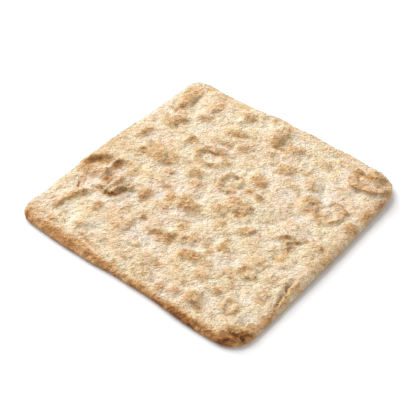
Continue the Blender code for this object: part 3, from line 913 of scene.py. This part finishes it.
    @staticmethod
    def round_over(piece: bpy.types.Object, way: int, reach: float, rise: float,
                   steps: int) -> None:
        """Rounds the rim by insetting the top or bottom face along a quarter of an ellipse.

        Args:
            piece: The slab, in edit mode.
            way: 1 for the top face, -1 for the bottom one.
            reach: How far in the rounding goes, in mm.
            rise: How far out of the slab it goes, in mm.
            steps: The number of insets.
        """
        bpy.ops.mesh.select_mode(type="FACE")
        bpy.ops.mesh.select_all(action="DESELECT")
        mesh = bmesh.from_edit_mesh(piece.data)
        for face in mesh.faces:
            face.select_set(face.normal.z * way > 0.9)
        bmesh.update_edit_mesh(piece.data)
        for step in range(steps):
            now, then = (math.pi / 2 * s / steps for s in (step, step + 1))
            bpy.ops.mesh.inset(
                thickness=reach * (math.cos(now) - math.cos(then)) * MM,
                depth=rise * (math.sin(then) - math.sin(now)) * MM)

    def wave_the_sides(self, piece: bpy.types.Object) -> None:
        """Pulls the sides slowly in and out, as hand-rolled dough has them."""
        hand = Sculptor(piece, self.rim_height)
        half = self.side / 2 / READ_SCALE
        for place, out_x, out_y, reach, amount in self.waves:
            along = place / READ_SCALE
            point = (out_x * half, along) if out_x else (along, out_y * half)
            hand.pull([point], 0.0, reach, (out_x * amount, out_y * amount, 0.0), Falloff.SOFT)
        hand.close()

    def raise_the_blisters(self, piece: bpy.types.Object) -> None:
        """Pulls the blisters, rings, folds and creases out of the top."""
        draw = random.Random(self.seed)
        hand = Sculptor(piece, self.grip_from, self.still_under)
        for blister in BLISTERS:
            self.raise_blister(hand, blister, draw)
        for fallen in FALLEN:
            self.raise_ring(hand, fallen, draw)
        for fold in FOLDS:
            self.raise_fold(hand, fold, draw)
        hand.close()

    def raise_fold(self, hand: Sculptor, fold: Fold, draw: random.Random) -> None:
        """Pulls up one fold, or presses in one crease, and then makes it uneven in short runs."""
        points = along_line(fold.path)
        rise = fold.height * self.relief_gain * (self.fold_gain if fold.height > 0.0 else 1.0)
        hand.pull(points, 0.0, fold.width / 2, (*fold.lean, self.fold_base * rise), fold.falloff)
        start = 0
        while start < len(points):
            stop = start + draw.randint(*self.run_points)
            hand.pull(points[start:stop], 0.0, fold.width * draw.uniform(*self.run_reach),
                      (0.0, 0.0, rise * draw.uniform(*self.run_rise)), Falloff.SOFT)
            start = stop

    def raise_blister(self, hand: Sculptor, blister: Blister, draw: random.Random) -> None:
        """Pulls up one shut blister, and then a few lumps on it that make it uneven."""
        turn = math.radians(blister.turn)
        half = (blister.length - blister.width) / 2
        cos, sin = math.cos(turn), math.sin(turn)
        ends = [(blister.x + s * half * cos, blister.y + s * half * sin) for s in (-1, 1)]
        rise = self.relief_gain * blister.height
        core = self.core_share * blister.width
        hand.pull(along_line(ends), core, self.body[0] * blister.width - core,
                  (0.0, 0.0, self.body[1] * rise), Falloff.SOFT)
        nudge = self.nudge_share * blister.width
        inner = [(x + draw.uniform(-nudge, nudge), y + draw.uniform(-nudge, nudge))
                 for x, y in ends]
        hand.pull(along_line(inner), core, self.crown[0] * blister.width - core,
                  (0.0, 0.0, self.crown[1] * rise), blister.falloff)
        for _ in range(blister.lumps):
            along = draw.uniform(-1.0, 1.0) * blister.length * 0.3
            across = draw.uniform(-1.0, 1.0) * blister.width * 0.28
            x = blister.x + along * cos - across * sin
            y = blister.y + along * sin + across * cos
            reach = blister.width * draw.uniform(0.2, 0.34)
            rise = self.relief_gain * blister.height * draw.uniform(0.12, 0.34)
            hand.pull([(x, y)], 0.0, max(reach, self.least_lump), (0.0, 0.0, rise), Falloff.FULL)

    def raise_ring(self, hand: Sculptor, ring: FallenBlister, draw: random.Random) -> None:
        """Pulls up the standing rim of a fallen blister, and leans it outwards."""
        sway = [draw.uniform(-self.ring_sway, self.ring_sway) for _ in range(4)]
        around = (ring.length + ring.width) * math.radians(ring.end - ring.start)
        steps = max(8, round(around / self.ring_spacing))
        points, outward = [], []
        for step in range(steps + 1):
            angle = math.radians(ring.start + (ring.end - ring.start) * step / steps)
            swell = 1.0 + sum(s * math.sin((k + 2) * angle + 7 * s) for k, s in enumerate(sway))
            along = ring.length / 2 * swell * math.cos(angle)
            across = ring.width / 2 * swell * math.sin(angle)
            points.append((ring.x + along, ring.y + across))
            outward.append(math.atan2(points[-1][1] - ring.y, points[-1][0] - ring.x))
        hand.pull(points, 0.0, ring.band / 2 * self.ring_spread,
                  (0.0, 0.0, ring.height * self.relief_gain), ring.falloff)
        if ring.lean <= 0.0:
            return
        for start in range(0, len(points), self.ring_run):
            angle = outward[min(start + 1, len(outward) - 1)]
            lean = (ring.lean * math.cos(angle), ring.lean * math.sin(angle), 0.0)
            hand.pull(points[start:start + self.ring_run], 0.0, ring.band / 2, lean, Falloff.SOFT)

    def paint(self, piece: bpy.types.Object) -> None:
        """Paints how far each place was toasted, with painted shade, into a mesh attribute."""
        x, y, z = positions(piece).T
        top = smooth_step(z, 0.6, 2.0)
        proud = standing_proud(x, y, z, 6.0)
        oven = self.toasting
        toast_and_shade = oven.dough + oven.drift * cloud(x, y, 14.0, 6)
        toast_and_shade += (oven.proud * smooth_step(proud, 0.0, 1.6)
                  - oven.hollow * smooth_step(-proud, 0.0, 1.0)) * top
        x, y = self.as_seen(x, y, z)
        bent_x = x + 0.9 * cloud(x, y, 3.1, 1) + 0.5 * cloud(x, y, 1.6, 2)
        bent_y = y + 0.9 * cloud(x, y, 3.1, 3) + 0.5 * cloud(x, y, 1.6, 4)
        spotty = 0.86 + 0.25 * cloud(x, y, 2.4, 7) + 0.2 * cloud(x, y, 1.4, 8)
        # Patches pull the amount towards their tone: dark ones on lee slopes and in creases paint
        # shade
        for patch in TOAST_AND_SHADE_PATCHES:
            turn = math.radians(patch.turn)
            away_x, away_y = bent_x - patch.x, bent_y - patch.y
            along = away_x * math.cos(turn) + away_y * math.sin(turn)
            across = away_y * math.cos(turn) - away_x * math.sin(turn)
            away = np.hypot(along / (patch.length / 2), across / (patch.width / 2))
            share = 1.0 - smooth_step(away, 1.0 - patch.edge * 0.9, 1.0 + patch.edge * 1.1)
            change = patch.tone.value - toast_and_shade
            change = np.minimum(change, 0.0) if patch.tone is PALE else np.maximum(change, 0.0)
            toast_and_shade += oven.patches * change * share * top * spotty
        half = self.side / 2 / READ_SCALE
        edge = half - np.maximum(np.abs(x), np.abs(y))
        front = smooth_step(-y, half - 6.0, half + 1.0) * (
            oven.front_rim + oven.front_foot * smooth_step(-z, -4.5, -1.0))
        right = smooth_step(x, half - 3.0, half + 2.0) * oven.right_rim
        rest = (1.0 - smooth_step(edge, -2.0, 5.0)) * oven.other_rims
        toast_and_shade += np.maximum(np.maximum(front, right), rest) * (1.0 + 0.3 * cloud(x, y, 5.0, 5))
        self.store(piece, "toast_and_shade", toast_and_shade)

    def as_seen(self, x: np.ndarray, y: np.ndarray, z: np.ndarray) -> tuple[np.ndarray, np.ndarray]:
        """Where places show in the photograph, read off as if all lay in the plane of the dough.

        Args:
            x: Places along X, in mm.
            y: Places along Y, in mm.
            z: Their heights, in mm.

        Returns:
            The places along X and Y in the units of TOAST_AND_SHADE_PATCHES.
        """
        around, above = math.radians(VIEW_AZIMUTH), math.radians(VIEW_ELEVATION)
        back = np.maximum(z - self.dough, 0.0) / math.tan(above)
        return ((x - back * math.sin(around)) / READ_SCALE,
                (y + back * math.cos(around)) / READ_SCALE)

    @staticmethod
    def store(piece: bpy.types.Object, name: str, values: np.ndarray) -> None:
        """Writes one number for each vertex into a named attribute of the mesh."""
        attribute = piece.data.attributes.new(name, "FLOAT", "POINT")
        attribute.data.foreach_set("value", values.astype(np.float32))

    def roughen(self, piece: bpy.types.Object) -> None:
        """Makes the dough and its skin uneven, with one layer of noise after another."""
        x, y, z = positions(piece).T
        edge = self.side / 2 - np.maximum(np.abs(x), np.abs(y))
        inner = smooth_step(edge, 2.0, 9.0) * smooth_step(z, 1.5, 4.0)
        skin = (0.1 + 0.9 * smooth_step(z, 0.5, 3.0)) * (0.45 + 0.55 * smooth_step(edge, 1.0, 6.0))
        skin *= 0.8 + 0.35 * cloud(x, y, 12.0, 9)
        for name, weights in (("inner", inner), ("skin", skin)):
            group = piece.vertex_groups.new(name=name)
            for index, weight in enumerate(weights):
                if weight > 0.01:
                    group.add([index], float(weight), "REPLACE")
        for layer in LAYERS:
            texture = bpy.data.textures.new(layer.name, layer.noise.value)
            texture.noise_scale = layer.size * MM
            if layer.noise is Noise.CLOUDS:
                texture.noise_depth = 1
            else:
                texture.distance_metric = "DISTANCE_SQUARED"
            bpy.ops.object.empty_add(rotation=(0.0, 0.0, math.radians(self.wrinkle_turn)))
            guide = bpy.context.object
            guide.scale = (layer.stretch, 1.0, 1.0)
            bpy.context.view_layer.update()
            apply_modifier(piece, "DISPLACE", texture=texture, strength=layer.strength * MM,
                           mid_level=layer.middle, direction=layer.direction,
                           vertex_group=layer.group, texture_coords="OBJECT",
                           texture_coords_object=guide)
            bpy.data.textures.remove(texture)
            bpy.data.objects.remove(guide)

    def curl(self, piece: bpy.types.Object) -> None:
        """Curls the back right corner and the right side up off the table."""
        x, y, _ = positions(piece).T
        hand = Sculptor(piece, self.grip_from)
        lifts = ((x + y > self.corner_from, self.corner_lift, self.corner_reach),
                 ((x > self.side_from[0]) & (y > self.side_from[1]), self.side_lift,
                  self.side_reach))
        for held, lift, reach in lifts:
            hand.hold(int(index) for index in np.nonzero(held)[0])
            hand.move((0.0, 0.0, lift), reach)
        hand.close()


@dataclass
class Studio:
    """The plain pale floor, the soft light and the camera."""

    target_mm: Place = (6.31, -10.63, 3.03)
    distance_mm: float = 611.6
    azimuth: float = VIEW_AZIMUTH
    elevation: float = VIEW_ELEVATION
    lens_mm: float = 86.52
    floor_colour: str = "F7F7F7"
    floor_side: float = 6.0
    floor_drop_mm: float = 0.2
    window_place: Place = (-1.05, 0.24, 0.97)
    window_size: float = 1.5
    window_watts: float = 31.5
    room_strength: float = 0.56

    def build(self) -> None:
        """Adds the floor, the lights, the world and the camera."""
        self.add_floor()
        self.add_light("window", self.window_place, self.window_size, self.window_watts)
        world = bpy.data.worlds.new("studio")
        world.use_nodes = True
        background = world.node_tree.nodes["Background"]
        background.inputs["Color"].default_value = srgb("FFFFFF")
        background.inputs["Strength"].default_value = self.room_strength
        bpy.context.scene.world = world
        bpy.context.scene.view_settings.view_transform = "Standard"
        self.add_camera()

    def add_floor(self) -> None:
        """Adds the pale matt floor just under the sheet."""
        deselect_everything()
        bpy.ops.mesh.primitive_plane_add(
            size=self.floor_side, location=(0, 0, -self.floor_drop_mm * MM))
        floor = bpy.context.object
        floor.name = "floor"
        material = bpy.data.materials.new("matt_white_card")
        material.use_nodes = True
        shader = material.node_tree.nodes["Principled BSDF"]
        shader.inputs["Base Color"].default_value = srgb(self.floor_colour)
        shader.inputs["Roughness"].default_value = 0.9
        shader.inputs["Specular IOR Level"].default_value = 0.1
        floor.data.materials.append(material)

    @staticmethod
    def add_light(name: str, place: Place, size: float, watts: float) -> None:
        """Adds a square soft light that looks at the sheet."""
        data = bpy.data.lights.new(name, "AREA")
        data.size, data.energy = size, watts
        light = bpy.data.objects.new(name, data)
        light.location = place
        light.rotation_euler = (-Vector(place)).to_track_quat("-Z", "Y").to_euler()
        bpy.context.scene.collection.objects.link(light)

    def add_camera(self) -> None:
        """Adds the camera at the photograph's angle."""
        around, above = math.radians(self.azimuth), math.radians(self.elevation)
        back = Vector((math.sin(around) * math.cos(above), -math.cos(around) * math.cos(above),
                       math.sin(above)))
        data = bpy.data.cameras.new("camera")
        data.lens, data.sensor_width = self.lens_mm, 36.0
        data.clip_start, data.clip_end = 0.01, 20.0
        camera = bpy.data.objects.new("camera", data)
        camera.location = (Vector(self.target_mm) + back * self.distance_mm) * MM
        camera.rotation_euler = back.to_track_quat("Z", "Y").to_euler()
        bpy.context.scene.collection.objects.link(camera)
        bpy.context.scene.camera = camera


def main() -> None:
    """Builds the sheet and the studio, and logs how many vertices the sheet has."""
    logging.basicConfig(level=logging.INFO, format="%(name)s: %(message)s")
    sheet = MatzoSheet().build()
    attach(sheet, "root")
    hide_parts("matzo_sheet")
    LOG.info("%s: %d vertices", sheet.name, len(sheet.data.vertices))
    Studio().build()
    LOG.info("studio: floor, lights and camera")


if __name__ == "__main__":
    main()
